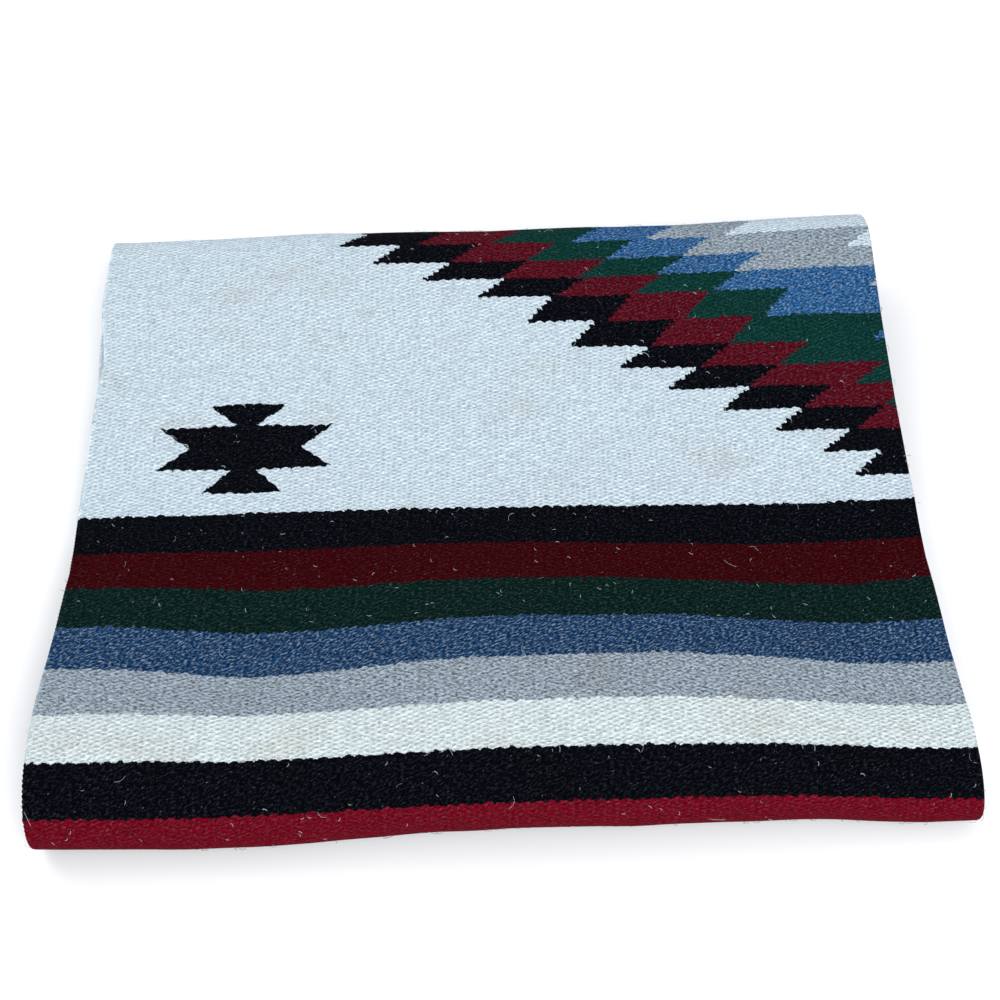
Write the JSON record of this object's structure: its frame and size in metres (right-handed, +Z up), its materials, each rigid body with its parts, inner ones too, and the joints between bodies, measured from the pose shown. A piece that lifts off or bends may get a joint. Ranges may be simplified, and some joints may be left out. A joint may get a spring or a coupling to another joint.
{
  "type": "folded wool serape",
  "caption": "Thick hand-woven wool serape folded into a flat rounded packet that rests on a surface, with striped bands and a stepped diamond.",
  "frame": {"origin": "bottom centre of the folded packet, on the surface it rests on", "axes": "+X along the weft from the selvedge edge to the centre-line fold, +Y along the warp from the front roll to the back fold, +Z up"},
  "size_m": [0.6056, 0.5066, 0.068],
  "materials": {
    "woven_wool": "weft-faced plain weave in white, black, deep red, dark green, heathered blue and grey wool, slightly hairy",
    "inner_wool": "the same web seen at its folds and selvedges"
  },
  "bodies": {
    "root": {"face_web": "woven_wool", "folded_layers": "inner_wool"}
  },
  "joints": []
}
